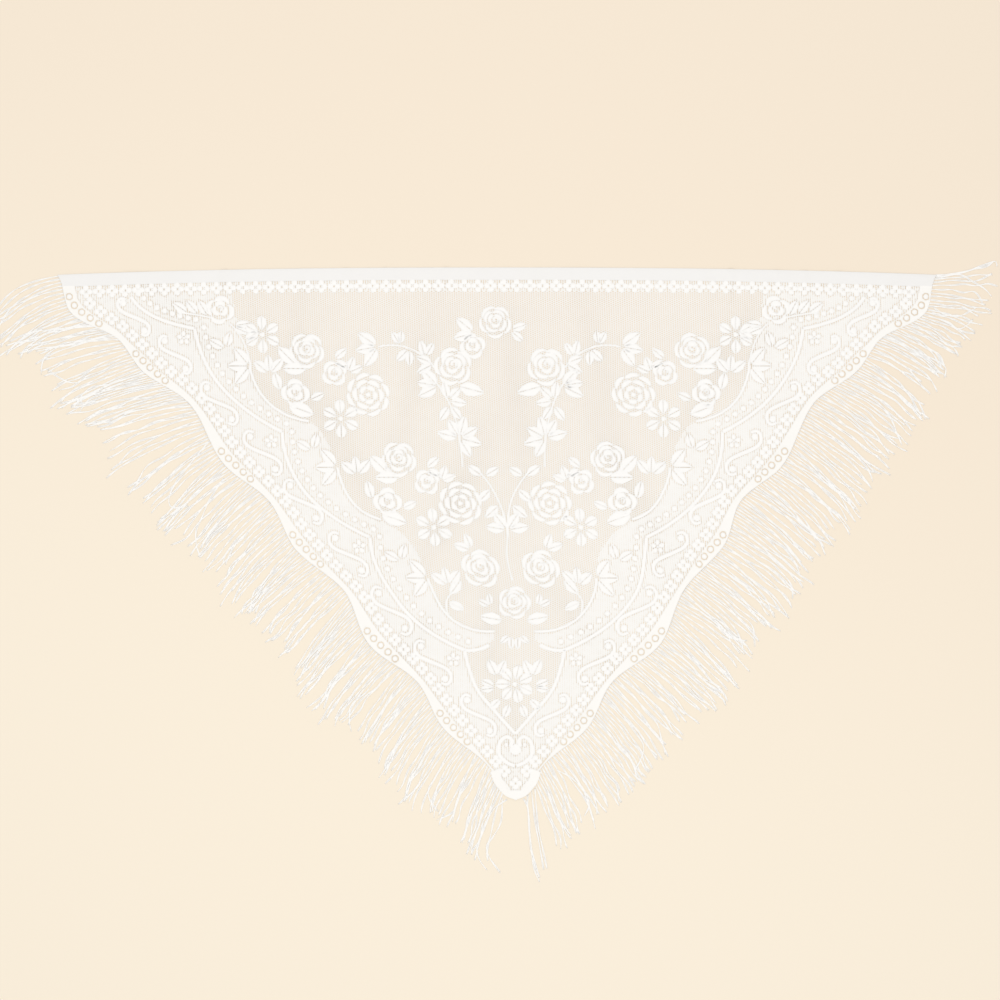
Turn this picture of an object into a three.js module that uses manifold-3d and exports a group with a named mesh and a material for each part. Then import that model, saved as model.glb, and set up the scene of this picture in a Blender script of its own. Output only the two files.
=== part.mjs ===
// A triangular lace shawl, warp-knitted in one piece and laid flat, face up.
// Millimetres, +Z up. The origin is on the underside, under the middle of the cloth.
// The straight edge runs along X at the far side and the point of the triangle is at -Y.
// Cloth is described in pattern coordinates: "across" from the centre line (plus is the right
// half) and "down" from the middle of the straight edge. lay() puts them where the cloth lies.

import * as THREE from 'three';
import { mergeVertices } from 'three/addons/utils/BufferGeometryUtils.js';
import Module from 'manifold-3d';

const wasm = await Module();
wasm.setup();

// ---- Driving sizes ----

const STRAIGHT_EDGE = 1320;
const DEPTH = 800;
const TOP_Y = 304;
const CORNER_DROP = 11;
const CLOTH = 1;
const RELIEF = 0.6;
const BAND_WIDTH = 19;
const BAND_RELIEF = 0.4;
const SIDE_STATIONS = 54;
const SEAM_GAP = 0.35;
const LINE_WIDTH = 4;
const CREASE_WIDTH = 5;

const STRANDS_A_SIDE = 122;
const STRAND_WIDTH = 2.2;
const STRAND_HEIGHT = 1.1;
const STRAND_LIFT = 0.25;
const STRAND_STEPS = 3;
const STRANDS_IN_A_LOCK = 6;
const LOCK_PINCH = 0.35;
const BACKING_WIDTH = 2.4;

const HALF_EDGE = STRAIGHT_EDGE / 2;
const SIDES = { left: -1, right: 1 };

// The laid cloth is a little skewed: its centre line drifts to the right on the way down.
const CENTRE_LINE = [
  { down: 0, shift: 0 },
  { down: 150, shift: 4 },
  { down: 240, shift: 8 },
  { down: 330, shift: 11 },
  { down: 420, shift: 17 },
  { down: 500, shift: 26 },
  { down: 800, shift: 28 },
];

// The scallops: how far the side stands out from the straight line, corner to point.
const SCALLOPS = [
  { along: 0, out: 0 },
  { along: 56, out: 22 },
  { along: 138, out: -6 },
  { along: 184, out: -2 },
  { along: 272, out: -23 },
  { along: 375, out: -2 },
  { along: 455, out: -17 },
  { along: 535, out: 3 },
  { along: 618, out: -7 },
  { along: 711, out: 17 },
  { along: 800, out: -2 },
  { along: 875, out: 13 },
  { along: 963, out: -2 },
  { along: 1010, out: 3 },
  { along: 1032, out: 0 },
];

// The fringe: lean is the angle of the line from root to tip below the straight edge's line,
// bend the turn on the way (degrees), reach the strand's length.
const FRINGE = {
  left: [
    { along: 0, lean: 28, bend: 40, reach: 136 },
    { along: 40, lean: 33, bend: 24, reach: 122 },
    { along: 70, lean: 26, bend: 14, reach: 114 },
    { along: 102, lean: 12, bend: 8, reach: 116 },
    { along: 130, lean: 10, bend: 10, reach: 118 },
    { along: 158, lean: 22, bend: 10, reach: 126 },
    { along: 188, lean: 26, bend: 8, reach: 130 },
    { along: 225, lean: 16, bend: 8, reach: 142 },
    { along: 273, lean: 15, bend: 10, reach: 145 },
    { along: 305, lean: 24, bend: 12, reach: 148 },
    { along: 330, lean: 36, bend: 14, reach: 138 },
    { along: 360, lean: 42, bend: 14, reach: 132 },
    { along: 405, lean: 45, bend: 10, reach: 134 },
    { along: 455, lean: 46, bend: 12, reach: 128 },
    { along: 505, lean: 46, bend: 10, reach: 132 },
    { along: 550, lean: 47, bend: 10, reach: 126 },
    { along: 625, lean: 48, bend: 8, reach: 132 },
    { along: 710, lean: 49, bend: 8, reach: 126 },
    { along: 780, lean: 50, bend: 10, reach: 116 },
    { along: 815, lean: 52, bend: 12, reach: 116 },
    { along: 860, lean: 55, bend: 12, reach: 120 },
    { along: 900, lean: 58, bend: 12, reach: 116 },
    { along: 940, lean: 62, bend: 12, reach: 114 },
    { along: 970, lean: 68, bend: 10, reach: 112 },
    { along: 1012, lean: 76, bend: 10, reach: 112 },
  ],
  right: [
    { along: 0, lean: -11, bend: -12, reach: 92 },
    { along: 18, lean: 3, bend: 4, reach: 88 },
    { along: 37, lean: 10, bend: 8, reach: 86 },
    { along: 56, lean: 18, bend: 12, reach: 82 },
    { along: 78, lean: 26, bend: 14, reach: 84 },
    { along: 102, lean: 30, bend: 18, reach: 93 },
    { along: 158, lean: 32, bend: 18, reach: 112 },
    { along: 210, lean: 32, bend: 16, reach: 123 },
    { along: 250, lean: 36, bend: 14, reach: 136 },
    { along: 290, lean: 38, bend: 12, reach: 140 },
    { along: 350, lean: 42, bend: 12, reach: 136 },
    { along: 400, lean: 40, bend: 14, reach: 130 },
    { along: 455, lean: 38, bend: 12, reach: 140 },
    { along: 520, lean: 36, bend: 10, reach: 138 },
    { along: 580, lean: 40, bend: 10, reach: 132 },
    { along: 640, lean: 42, bend: 10, reach: 136 },
    { along: 700, lean: 43, bend: 8, reach: 128 },
    { along: 760, lean: 43, bend: 8, reach: 122 },
    { along: 820, lean: 48, bend: 10, reach: 130 },
    { along: 870, lean: 53, bend: 10, reach: 118 },
    { along: 925, lean: 56, bend: 12, reach: 114 },
    { along: 970, lean: 62, bend: 10, reach: 116 },
    { along: 1000, lean: 72, bend: 6, reach: 122 },
    { along: 1012, lean: 80, bend: 4, reach: 126 },
  ],
};

// The ogee line that parts the flowered field from the scalloped border. Each row is a cusp
// with the arc that leaves it: sag is how far the arc's handle stands off its chord, and lean
// how far the handle is moved along it.
const OGEE_CUSPS = [
  { across: 550, down: 44, sag: 22, lean: -20 },
  { across: 456, down: 92, sag: 52, lean: -15 },
  { across: 330, down: 247, sag: 62, lean: -21 },
  { across: 207, down: 405, sag: 68, lean: -11 },
  { across: 75, down: 574, sag: 0, lean: 0 },
];

// The two curves that close the ogee line into a cartouche above the point.
const CARTOUCHE = [
  { across: 75, down: 574 },
  { across: 69, down: 600 },
  { across: 56, down: 634 },
  { across: 30, down: 666 },
  { across: 0, down: 700 },
];

// The S-scrolls between the ogee line and the scallops, one row for each mirrored pair.
const SCROLLS = [
  { along: 93, inset: 46, length: 56 },
  { along: 175, inset: 56, length: 57 },
  { along: 268, inset: 58, length: 64 },
  { along: 364, inset: 58, length: 66 },
  { along: 457, inset: 55, length: 66 },
  { along: 557, inset: 52, length: 66 },
  { along: 656, inset: 42, length: 72 },
  { along: 758, inset: 39, length: 66 },
  { along: 864, inset: 40, length: 62 },
];

// The flowers of one half; a flower with mirrored: false stands only where the row says.
const FLOWERS = [
  { kind: 'rose', across: 417, down: 64, radius: 19, mirrored: true },
  { kind: 'blossom', across: 355, down: 101, radius: 25, mirrored: true },
  { kind: 'rose', across: 289, down: 125, radius: 28, mirrored: true },
  { kind: 'rose', across: 248, down: 158, radius: 19, mirrored: true },
  { kind: 'rose', across: 308, down: 190, radius: 22, mirrored: true },
  { kind: 'peony', across: 200, down: 190, radius: 28, mirrored: true },
  { kind: 'blossom', across: 241, down: 228, radius: 25, mirrored: true },
  { kind: 'rose', across: 157, down: 287, radius: 27, mirrored: true },
  { kind: 'rose', across: 118, down: 323, radius: 19, mirrored: true },
  { kind: 'rose', across: 178, down: 350, radius: 21, mirrored: true },
  { kind: 'peony', across: 67, down: 354, radius: 26, mirrored: true },
  { kind: 'blossom', across: 113, down: 385, radius: 25, mirrored: true },
  { kind: 'rose', across: 70, down: 149, radius: 29, mirrored: true },
  { kind: 'rose', across: -40, down: 118, radius: 18, mirrored: false },
  { kind: 'rose', across: -8, down: 82, radius: 24, mirrored: false },
  { kind: 'rose', across: 45, down: 452, radius: 28, mirrored: true },
  { kind: 'rose', across: 0, down: 503, radius: 22, mirrored: false },
  { kind: 'blossom', across: 0, down: 626, radius: 15, mirrored: false },
];

const PETALS = { rose: 5, blossom: 6, peony: 9 };
const PETAL_DEPTH = { rose: 0.14, blossom: 0.26, peony: 0.12 };

// The stems: each is a quadratic curve from its first point over its handle to its last.
const STEMS = [
  { from: [182, 120], over: [128, 112], to: [96, 142] },
  { from: [104, 164], over: [62, 222], to: [64, 300] },
  { from: [36, 310], over: [-4, 372], to: [0, 470] },
  { from: [250, 302], over: [236, 366], to: [190, 380] },
  { from: [124, 466], over: [104, 548], to: [52, 548] },
];

// The leaves beside them; turn is the way the tip points, in degrees from across to up.
const LEAVES = [
  { across: 148, down: 104, length: 26, turn: 50 },
  { across: 122, down: 180, length: 30, turn: 200 },
  { across: 98, down: 202, length: 28, turn: 190 },
  { across: 46, down: 210, length: 26, turn: -20 },
  { across: 42, down: 232, length: 26, turn: -30 },
  { across: 76, down: 256, length: 26, turn: 210 },
  { across: 38, down: 270, length: 26, turn: -35 },
  { across: 16, down: 340, length: 24, turn: 215 },
  { across: 18, down: 398, length: 24, turn: 20 },
  { across: 242, down: 112, length: 26, turn: 115 },
  { across: 334, down: 182, length: 30, turn: -70 },
  { across: 274, down: 196, length: 28, turn: -100 },
  { across: 460, down: 54, length: 26, turn: 150 },
  { across: 382, down: 70, length: 24, turn: 20 },
  { across: 160, down: 452, length: 28, turn: 150 },
  { across: 134, down: 476, length: 26, turn: 200 },
  { across: 88, down: 462, length: 26, turn: -150 },
  { across: 90, down: 502, length: 26, turn: -120 },
  { across: 98, down: 522, length: 24, turn: 160 },
  { across: 26, down: 556, length: 24, turn: -30 },
];

// Creases across the top band, pressed in by folding; size is the ridge's height.
const CREASES = [
  { across: -409, down: 4, reach: 60, size: 1.0 },
  { across: -226, down: 3, reach: 34, size: 0.6 },
  { across: -166, down: 3, reach: 30, size: 0.6 },
  { across: -76, down: 2, reach: 34, size: 0.6 },
  { across: 352, down: 4, reach: 90, size: 1.0 },
  { across: 421, down: 5, reach: 30, size: 0.6 },
  { across: 461, down: 6, reach: 34, size: 0.7 },
  { across: 514, down: 8, reach: 30, size: 0.6 },
];

// ---- Pattern space ----

function eased(rows, key, column, at) {
  const last = rows[rows.length - 1];
  if (at <= rows[0][key]) return rows[0][column];
  if (at >= last[key]) return last[column];
  const next = rows.findIndex((row) => row[key] > at);
  const before = rows[next - 1];
  const after = rows[next];
  const t = (at - before[key]) / (after[key] - before[key]);
  const ease = t * t * (3 - 2 * t);
  return before[column] + (after[column] - before[column]) * ease;
}

function lay([across, down]) {
  const shift = eased(CENTRE_LINE, 'down', 'shift', down);
  return new THREE.Vector2(across + shift, TOP_Y - down);
}

function straightEdge(across, inset) {
  const bow = CORNER_DROP * Math.abs(across / HALF_EDGE) ** 2.4;
  return [across, bow + inset];
}

const SIDE_RUN = new THREE.Vector2(-HALF_EDGE, DEPTH - CORNER_DROP);
const SIDE_LENGTH = SIDE_RUN.length();
const SIDE_ALONG = SIDE_RUN.clone().normalize();
const SIDE_OUT = new THREE.Vector2(SIDE_ALONG.y, -SIDE_ALONG.x);
const STATION_PITCH = SIDE_LENGTH / SIDE_STATIONS;

// How far the side stands out, straight from each station to the next, so that pieces cut
// along it keep their gap.
function scallopOut(along) {
  const before = Math.floor(along / STATION_PITCH) * STATION_PITCH;
  const outBefore = eased(SCALLOPS, 'along', 'out', before);
  const outAfter = eased(SCALLOPS, 'along', 'out', before + STATION_PITCH);
  return THREE.MathUtils.lerp(outBefore, outAfter, (along - before) / STATION_PITCH);
}

// A point of the scalloped side, or inset from it; hand is -1 on the left half.
function scallopedSide(hand, along, inset) {
  const out = scallopOut(along) - inset;
  const across = HALF_EDGE + SIDE_ALONG.x * along + SIDE_OUT.x * out;
  const down = CORNER_DROP + SIDE_ALONG.y * along + SIDE_OUT.y * out;
  return [hand * across, down];
}

function spaced(from, to, count) {
  return Array.from({ length: count + 1 }, (_, i) => from + ((to - from) * i) / count);
}

const SIDE_STEPS = spaced(0, SIDE_LENGTH, SIDE_STATIONS);

// ---- Solids ----

function toManifold(geometry) {
  geometry.deleteAttribute('normal');
  geometry.deleteAttribute('uv');
  const merged = mergeVertices(geometry, 1e-4);
  return new wasm.Manifold(new wasm.Mesh({
    numProp: 3,
    vertProperties: new Float32Array(merged.attributes.position.array),
    triVerts: new Uint32Array(merged.index.array),
  }));
}

function toGeometry(solid) {
  const mesh = solid.getMesh();
  const geometry = new THREE.BufferGeometry();
  geometry.setAttribute('position', new THREE.BufferAttribute(mesh.vertProperties, 3));
  geometry.setIndex(new THREE.BufferAttribute(mesh.triVerts, 1));
  geometry.computeVertexNormals();
  return geometry;
}

// A flat piece with the given outline, from one height to another.
function slab(points, bottom, top) {
  const shape = new THREE.Shape(points);
  const geometry = new THREE.ExtrudeGeometry(shape, { depth: top - bottom, bevelEnabled: false });
  geometry.translate(0, 0, bottom);
  return toManifold(geometry);
}

function joined(solids) {
  return solids.reduce((whole, solid) => whole.add(solid));
}

// The two edges of a line of the given width through a row of points, as one outline.
function ribbonOutline(points, width) {
  const left = [];
  const right = [];
  points.forEach((point, i) => {
    const before = points[Math.max(i - 1, 0)];
    const after = points[Math.min(i + 1, points.length - 1)];
    const side = after.clone().sub(before).normalize();
    side.set(-side.y, side.x).multiplyScalar(width / 2);
    left.push(point.clone().add(side));
    right.push(point.clone().sub(side));
  });
  return [...left, ...right.reverse()];
}

function raised(outline, relief) {
  return slab(outline, CLOTH / 2, CLOTH + relief);
}

// ---- The panel's ground and figures ----

function panelOutline() {
  const edge = spaced(-HALF_EDGE, HALF_EDGE, 24).map((across) => lay(straightEdge(across, 0)));
  const right = SIDE_STEPS.slice(1).map((along) => lay(scallopedSide(1, along, 0)));
  const left = SIDE_STEPS.slice(1, -1).map((along) => lay(scallopedSide(-1, along, 0)));
  return [...edge, ...right, ...left.reverse()];
}

function bandOutline() {
  const reach = HALF_EDGE - BAND_WIDTH / 2;
  const steps = spaced(-reach, reach, 24);
  const outer = steps.map((across) => lay(straightEdge(across, 0.5)));
  const inner = steps.map((across) => lay(straightEdge(across * 0.985, BAND_WIDTH)));
  return [...outer, ...inner.reverse()];
}

function sideBandOutline(hand) {
  const steps = SIDE_STEPS.slice(1, -1);
  const outer = steps.map((along) => lay(scallopedSide(hand, along, 1)));
  const inner = steps.map((along) => lay(scallopedSide(hand, along, 11)));
  return [...outer, ...inner.reverse()];
}

function ogeeArc(hand, from, to, steps) {
  const start = new THREE.Vector2(from.across, from.down);
  const end = new THREE.Vector2(to.across, to.down);
  const chord = end.clone().sub(start).normalize();
  const handle = start.clone().add(end).multiplyScalar(0.5);
  handle.add(new THREE.Vector2(chord.y, -chord.x).multiplyScalar(from.sag));
  handle.addScaledVector(chord, from.lean);
  const curve = new THREE.QuadraticBezierCurve(start, handle, end);
  return curve.getPoints(steps).map((p) => lay([hand * p.x, p.y]));
}

function ogeeLines(hand) {
  return OGEE_CUSPS.slice(0, -1).map((cusp, i) => {
    const points = ogeeArc(hand, cusp, OGEE_CUSPS[i + 1], 8);
    return raised(ribbonOutline(points, LINE_WIDTH), RELIEF);
  });
}

function cartouche(hand) {
  const handles = CARTOUCHE.map((row) => new THREE.Vector2(row.across, row.down));
  const curve = new THREE.SplineCurve(handles);
  const points = curve.getPoints(8).map((p) => lay([hand * p.x, p.y]));
  return raised(ribbonOutline(points, LINE_WIDTH), RELIEF);
}

// An S with a curl at each end, as a row of points around its own middle, one unit long.
function scrollPoints() {
  const curl = 0.2;
  const half = [];
  for (let step = 0; step <= 6; step += 1) {
    const angle = Math.PI * (0.1 + 0.27 * step);
    const radius = curl * (1 - 0.08 * step);
    half.push(new THREE.Vector2(0.5 - radius * Math.cos(angle) - curl, radius * Math.sin(angle)));
  }
  const other = half.map((p) => new THREE.Vector2(-p.x, -p.y));
  return [...half.reverse(), ...other];
}

function scroll(hand, { along, inset, length }) {
  const start = new THREE.Vector2(...scallopedSide(1, along, 0));
  start.addScaledVector(SIDE_OUT, -inset - scallopOut(along));
  const middle = start.addScaledVector(SIDE_ALONG, length / 2);
  const points = scrollPoints().map((p) => {
    const place = middle.clone().addScaledVector(SIDE_ALONG, -p.x * length);
    place.addScaledVector(SIDE_OUT, p.y * length);
    return lay([hand * place.x, place.y]);
  });
  return raised(ribbonOutline(points, LINE_WIDTH * 0.9), RELIEF);
}

// A round flower head with lobes, and its smaller heart on top.
function flower(kind, across, down, radius) {
  const petals = PETALS[kind];
  const rim = spaced(0, 1, petals * 2).slice(1).map((turn, i) => {
    const reach = radius * (i % 2 ? 1 - PETAL_DEPTH[kind] : 1);
    const angle = turn * Math.PI * 2;
    return lay([across + reach * Math.cos(angle), down + reach * Math.sin(angle)]);
  });
  const heart = spaced(0, 1, 6).slice(1).map((turn) => {
    const angle = turn * Math.PI * 2;
    return lay([across + radius * 0.4 * Math.cos(angle), down + radius * 0.4 * Math.sin(angle)]);
  });
  return raised(rim, RELIEF).add(raised(heart, RELIEF * 2));
}

function flowers() {
  return FLOWERS.flatMap(({ kind, across, down, radius, mirrored }) => {
    const heads = [flower(kind, across, down, radius)];
    if (mirrored) heads.push(flower(kind, -across, down, radius));
    return heads;
  });
}

function stem(hand, { from, over, to }) {
  const ends = [from, over, to].map((p) => new THREE.Vector2(...p));
  const curve = new THREE.QuadraticBezierCurve(...ends);
  const points = curve.getPoints(6).map((p) => lay([hand * p.x, p.y]));
  return raised(ribbonOutline(points, LINE_WIDTH * 0.7), RELIEF);
}

function leaf(hand, { across, down, length, turn }) {
  const angle = THREE.MathUtils.degToRad(turn);
  const spine = new THREE.Vector2(Math.cos(angle), -Math.sin(angle));
  const side = new THREE.Vector2(-spine.y, spine.x);
  const outline = [[0, 0], [0.35, 0.2], [0.7, 0.18], [1, 0], [0.7, -0.18], [0.35, -0.2]];
  const points = outline.map(([forward, sideways]) => {
    const x = across + length * (spine.x * forward + side.x * sideways);
    const y = down + length * (spine.y * forward + side.y * sideways);
    return lay([hand * x, y]);
  });
  return raised(points, RELIEF);
}

// A pressed ridge running down from the straight edge, as a long low roof.
function crease({ across, down, reach, size }) {
  const section = new THREE.Shape([
    new THREE.Vector2(-CREASE_WIDTH / 2, 0),
    new THREE.Vector2(CREASE_WIDTH / 2, 0),
    new THREE.Vector2(0, CLOTH / 2 + BAND_RELIEF + size),
  ]);
  const geometry = new THREE.ExtrudeGeometry(section, { depth: reach, bevelEnabled: false });
  geometry.rotateX(Math.PI / 2);
  const start = lay([across, down]);
  geometry.translate(start.x, start.y, CLOTH / 2);
  return toManifold(geometry);
}

function lacePanel() {
  const figures = [
    raised(bandOutline(), BAND_RELIEF),
    ...CREASES.map(crease),
    ...flowers(),
  ];
  Object.values(SIDES).forEach((hand) => {
    figures.push(raised(sideBandOutline(hand), BAND_RELIEF));
    figures.push(...ogeeLines(hand), cartouche(hand));
    figures.push(...SCROLLS.map((row) => scroll(hand, row)));
    figures.push(...STEMS.map((row) => stem(hand, row)));
    figures.push(...LEAVES.map((row) => leaf(hand, row)));
  });
  return slab(panelOutline(), 0, CLOTH).add(joined(figures));
}

// ---- The fringe ----

const FIRST_ROOT = 3;
const LAST_ROOT = SIDE_LENGTH - STATION_PITCH - FIRST_ROOT;
const ROOT_PITCH = (LAST_ROOT - FIRST_ROOT) / (STRANDS_A_SIDE - 1);

function backing(hand) {
  const steps = SIDE_STEPS.slice(0, -1);
  const inner = steps.map((along) => lay(scallopedSide(hand, along, -SEAM_GAP)));
  const outer = steps.map((along) => lay(scallopedSide(hand, along, -SEAM_GAP - BACKING_WIDTH)));
  return slab([...inner, ...outer.reverse()], STRAND_LIFT, STRAND_LIFT + STRAND_HEIGHT);
}

function strandPath(hand, rows, along) {
  const root = lay(scallopedSide(hand, along, -SEAM_GAP - BACKING_WIDTH * 0.6));
  const lean = eased(rows, 'along', 'lean', along);
  const bend = eased(rows, 'along', 'bend', along);
  const reach = eased(rows, 'along', 'reach', along);
  const heading = (degrees) => {
    const angle = THREE.MathUtils.degToRad(degrees);
    return new THREE.Vector2(hand * Math.cos(angle), -Math.sin(angle));
  };
  const middle = root.clone().addScaledVector(heading(lean - bend / 2), reach / 2);
  const tip = root.clone().addScaledVector(heading(lean), reach);
  return [root, middle, tip];
}

// Strands gather into locks: each is drawn towards the middle strand of its lock, more so at
// the tip.
function strand(hand, rows, index) {
  const rootAlong = (place) => FIRST_ROOT + ROOT_PITCH * Math.min(place, STRANDS_A_SIDE - 1);
  const middleOfLock = (Math.floor(index / STRANDS_IN_A_LOCK) + 0.5) * STRANDS_IN_A_LOCK - 0.5;
  const own = strandPath(hand, rows, rootAlong(index));
  const shared = strandPath(hand, rows, rootAlong(middleOfLock));
  const [root, middle, tip] = own.map((point, i) => (
    point.clone().lerp(shared[i], (LOCK_PINCH * i) / 2)
  ));
  const curve = new THREE.QuadraticBezierCurve3(
    new THREE.Vector3(root.x, root.y, STRAND_LIFT),
    new THREE.Vector3(middle.x, middle.y, STRAND_LIFT),
    new THREE.Vector3(tip.x, tip.y, STRAND_LIFT),
  );
  const section = new THREE.Shape([
    new THREE.Vector2(0, -STRAND_WIDTH / 2),
    new THREE.Vector2(0, STRAND_WIDTH / 2),
    new THREE.Vector2(-STRAND_HEIGHT, 0),
  ]);
  return toManifold(new THREE.ExtrudeGeometry(section, { steps: STRAND_STEPS, extrudePath: curve }));
}

function fringe(hand, rows) {
  const strands = Array.from({ length: STRANDS_A_SIDE }, (_, i) => strand(hand, rows, i));
  return backing(hand).add(joined(strands));
}

// ---- The shawl ----

function cloth(colour) {
  return new THREE.MeshStandardMaterial({ color: colour, roughness: 0.85, metalness: 0 });
}

function piece(name, solid, colour) {
  const mesh = new THREE.Mesh(toGeometry(solid), cloth(colour));
  mesh.name = name;
  return mesh;
}

const shawl = new THREE.Group();
shawl.add(piece('lace_panel', lacePanel(), 0xf4efe6));
Object.entries(SIDES).forEach(([side, hand]) => {
  shawl.add(piece(`fringe_${side}`, fringe(hand, FRINGE[side]), 0xf7f2ea));
});

export default shawl;
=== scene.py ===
"""A triangular lace shawl laid flat: knitted ground, raised figures and fringe.

Shapes are worked out in millimetres in pattern coordinates, "across" from the centre line
(plus is the right half) and "down" from the middle of the straight edge. lay() puts them
where the cloth lies, and meshes are made in metres.
"""

import math

import bpy
import numpy as np
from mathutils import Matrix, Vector
from mathutils.geometry import delaunay_2d_cdt


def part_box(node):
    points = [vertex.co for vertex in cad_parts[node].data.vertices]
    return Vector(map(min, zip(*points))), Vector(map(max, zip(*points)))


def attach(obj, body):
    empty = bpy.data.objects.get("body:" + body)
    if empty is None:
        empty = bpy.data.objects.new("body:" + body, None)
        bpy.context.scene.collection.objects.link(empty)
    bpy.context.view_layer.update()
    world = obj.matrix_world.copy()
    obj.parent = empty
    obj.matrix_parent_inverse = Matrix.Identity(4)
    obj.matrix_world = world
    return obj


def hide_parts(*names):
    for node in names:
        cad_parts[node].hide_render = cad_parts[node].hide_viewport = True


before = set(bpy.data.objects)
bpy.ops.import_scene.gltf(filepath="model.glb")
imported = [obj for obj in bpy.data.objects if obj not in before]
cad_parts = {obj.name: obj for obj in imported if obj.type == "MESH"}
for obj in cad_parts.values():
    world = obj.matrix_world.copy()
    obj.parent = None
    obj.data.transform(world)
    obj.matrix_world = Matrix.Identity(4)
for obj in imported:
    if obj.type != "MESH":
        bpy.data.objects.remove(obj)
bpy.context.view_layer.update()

MM = 0.001
RANDOM_SEED = 7
rng = np.random.default_rng(RANDOM_SEED)


def table(columns, *rows):
    """A table with named columns, as one array for each column."""
    return dict(zip(columns.split(), np.array(rows, float).T))


# ---- The cloth's sizes, from the frame, and its tables ----

panel_low, panel_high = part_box("lace_panel")
HALF_EDGE = (panel_high.x - panel_low.x) / 2 / MM
TOP_Y = panel_high.y / MM
DEPTH = (panel_high.y - panel_low.y) / MM
CORNER_DROP = 11
BAND_WIDTH = 19

# The laid cloth is a little skewed: its centre line shifts to the right on the way down.
CENTRE_LINE = table(
    "down shift", (0, 0), (150, 4), (240, 8), (330, 11), (420, 17), (500, 26), (800, 28)
)

# The scallops: how far the side stands out from the straight line, corner to point, and how
# far in from the edge the chain of florets runs.
SCALLOPS = table(
    "along out chain",
    (0, 0, 34),
    (56, 22, 31),
    (138, -6, 20),
    (184, -2, 29),
    (272, -23, 20),
    (375, -2, 31),
    (455, -17, 20),
    (535, 3, 31),
    (618, -7, 19),
    (711, 17, 34),
    (800, -2, 19),
    (875, 13, 30),
    (963, -2, 13),
    (1010, 3, 20),
    (1032, 0, 20),
)

# The fringe: lean is the angle of the line from root to tip below the straight edge's line,
# bend the turn on the way (degrees), reach the strand's length.
LEFT_FRINGE = table(
    "along lean bend reach",
    (0, 28, 40, 136),
    (40, 33, 24, 122),
    (70, 26, 14, 114),
    (102, 12, 8, 116),
    (130, 10, 10, 118),
    (158, 22, 10, 126),
    (188, 26, 8, 130),
    (225, 16, 8, 142),
    (273, 15, 10, 145),
    (305, 24, 12, 148),
    (330, 36, 14, 138),
    (360, 42, 14, 132),
    (405, 45, 10, 134),
    (455, 46, 12, 128),
    (505, 46, 10, 132),
    (550, 47, 10, 126),
    (625, 48, 8, 132),
    (710, 49, 8, 126),
    (780, 50, 10, 116),
    (815, 52, 12, 116),
    (860, 55, 12, 120),
    (900, 58, 12, 116),
    (940, 62, 12, 114),
    (970, 68, 10, 112),
    (1012, 76, 10, 112),
)
RIGHT_FRINGE = table(
    "along lean bend reach",
    (0, -11, -12, 92),
    (18, 3, 4, 88),
    (37, 10, 8, 86),
    (56, 18, 12, 82),
    (78, 26, 14, 84),
    (102, 30, 18, 93),
    (158, 32, 18, 112),
    (210, 32, 16, 123),
    (250, 36, 14, 136),
    (290, 38, 12, 140),
    (350, 42, 12, 136),
    (400, 40, 14, 130),
    (455, 38, 12, 140),
    (520, 36, 10, 138),
    (580, 40, 10, 132),
    (640, 42, 10, 136),
    (700, 43, 8, 128),
    (760, 43, 8, 122),
    (820, 48, 10, 130),
    (870, 53, 10, 118),
    (925, 56, 12, 114),
    (970, 62, 10, 116),
    (1000, 72, 6, 122),
    (1012, 80, 4, 126),
)
FRINGE = {"left": LEFT_FRINGE, "right": RIGHT_FRINGE}

# Yarns that lie out of order, as points in the frame: x and y from root to tip.
STRAYS = {
    "left": (
        ((-410, -12), (-432, -46), (-442, -70), (-451, -90), (-451, -112), (-445, -131)),
        ((-432, 43), (-474, -8), (-491, -38), (-488, -56), (-463, -54)),
        ((-520, 150), (-577, 130), (-608, 124), (-624, 110), (-622, 98)),
        ((15, -494), (-6, -510), (-21, -542), (-30, -568), (-26, -585), (-15, -600)),
        ((8, -492), (6, -527), (-6, -550), (-15, -563), (-12, -580), (5, -604)),
    ),
    "right": (
        ((40, -493), (47, -510), (50, -560), (56, -598), (64, -618)),
        ((46, -487), (46, -505), (50, -555), (57, -590), (64, -612)),
        ((52, -482), (57, -525), (65, -570), (70, -600)),
        ((57, -478), (61, -530), (68, -565), (75, -598)),
        ((90, -450), (112, -462), (132, -484), (138, -503), (131, -519)),
        ((658, 292), (695, 296), (729, 307), (747, 313), (750, 305)),
        ((658, 288), (693, 293), (711, 284), (731, 272), (742, 260)),
        ((655, 243), (673, 233), (695, 231), (711, 224)),
        ((652, 236), (680, 231), (697, 232), (718, 243)),
        ((648, 231), (676, 222), (690, 212), (702, 215), (714, 226)),
        ((575, 204), (634, 176), (661, 163), (673, 153), (671, 138)),
    ),
}

# The ogee line: each row is a cusp with the arc that leaves it. sag is how far the arc's
# handle stands off its chord, lean how far the handle is moved along it.
OGEE_CUSPS = table(
    "across down sag lean",
    (550, 44, 22, -20),
    (456, 92, 52, -15),
    (330, 247, 62, -21),
    (207, 405, 68, -11),
    (75, 574, 0, 0),
)
CARTOUCHE = table("across down", (75, 574), (69, 600), (56, 634), (30, 666), (0, 700))

SCROLLS = table(
    "along inset length",
    (93, 46, 56),
    (175, 56, 57),
    (268, 58, 64),
    (364, 58, 66),
    (457, 55, 66),
    (557, 52, 66),
    (656, 42, 72),
    (758, 39, 66),
    (864, 40, 62),
)

# Two bouquets alike stand in each half. Their flowers are placed from the largest rose.
BOUQUETS = table("across down", (289, 125), (157, 288))
BOUQUET_FLOWERS = {
    "rose": table("across down radius", (0, 0, 27), (-41, 34, 20), (19, 64, 22)),
    "blossom": table("across down radius", (-47, 102, 28)),
    "peony": table("across down radius", (-90, 66, 31)),
}

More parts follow.
